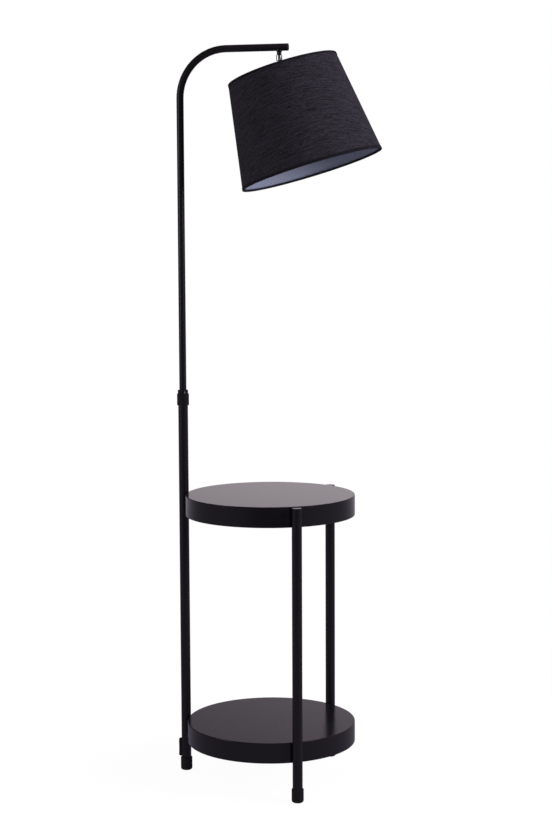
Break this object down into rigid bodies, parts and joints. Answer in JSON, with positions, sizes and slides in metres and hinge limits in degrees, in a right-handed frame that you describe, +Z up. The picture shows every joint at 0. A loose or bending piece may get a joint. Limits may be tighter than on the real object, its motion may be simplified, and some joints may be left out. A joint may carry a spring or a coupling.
{
  "type": "floor lamp with table",
  "caption": "Floor lamp whose pole is a leg of a round two-tier side table, with a telescoping bent mast and a tapered fabric shade on a ball swivel.",
  "frame": {"origin": "on the floor under the axis of the pole, in the middle of the sole of the pole's foot", "axes": "+Z up along the pole, +X from the pole to the middle of the table and along the arm at rest, +Y to the back as the lamp is usually seen"},
  "size_m": [0.469, 0.38, 1.642],
  "materials": {
    "black_coat": "satin black powder coat",
    "black_plastic": "satin black moulding",
    "foot_rubber": "matt black",
    "nylon": "natural nylon",
    "zinc_steel": "zinc plated",
    "chrome": "bright chrome",
    "black_steel": "gloss black plated steel",
    "wire_white": "white coated wire",
    "flex_sheath": "black sheath",
    "holder_ceramic": "glazed white",
    "contact_brass": "bright brass",
    "shade_fabric": "black slub weave",
    "shade_liner": "pale styrene lining"
  },
  "bodies": {
    "stand": {"pole": "black_coat", "front_leg": "black_coat", "rear_leg": "black_coat", "pole_foot": "foot_rubber", "front_foot": "foot_rubber", "rear_foot": "foot_rubber", "front_leg_plug": "black_plastic", "rear_leg_plug": "black_plastic", "tray": "black_coat", "shelf": "black_coat", "pan_screws": "zinc_steel", "rivet_nuts": "zinc_steel", "cord_outlet": "black_plastic", "flex_lower": "flex_sheath", "clamp_bush": "nylon"},
    "collar": {"twist_collar": "black_plastic"},
    "slider": {"guide_bush": "nylon"},
    "mast": {"mast_tube": "black_coat", "stop_ring": "zinc_steel", "mast_grommet": "nylon", "arm_cap": "black_plastic", "flex_upper": "flex_sheath", "hang_stub": "black_coat", "swivel_cup": "chrome"},
    "seat": {"ball_seat": "nylon"},
    "head": {"swivel_ball": "black_steel", "holder_cap": "black_plastic", "holder_body": "black_plastic", "holder_core": "holder_ceramic", "screw_shell": "contact_brass", "centre_contact": "contact_brass", "shade_nut": "black_plastic", "shade_spider": "wire_white", "bottom_ring": "wire_white", "shade_cover": "shade_fabric", "shade_lining": "shade_liner", "top_binding": "shade_fabric", "bottom_binding": "shade_fabric"}
  },
  "joints": [
    {"name": "collar_twist", "type": "hinge", "parent": "stand", "child": "collar", "pos_m": [0, 0, 0.862], "axis": [0, 0, 1], "range_deg": [0, 90]},
    {"name": "mast_height", "type": "slide", "parent": "stand", "child": "slider", "axis": [0, 0, 1], "range_m": [-0.14, 0], "deforming": ["flex_lower"]},
    {"name": "mast_swivel", "type": "hinge", "parent": "slider", "child": "mast", "pos_m": [0, 0, 0.795], "axis": [0, 0, 1], "range_deg": [-175, 175]},
    {"name": "shade_roll", "type": "hinge", "parent": "mast", "child": "seat", "pos_m": [0.2265, 0, 1.608], "axis": [1, 0, 0], "range_deg": [-20, 20]},
    {"name": "shade_tilt", "type": "hinge", "parent": "seat", "child": "head", "pos_m": [0.2265, 0, 1.608], "axis": [0, -1, 0], "range_deg": [-26.9, 13.1]}
  ]
}
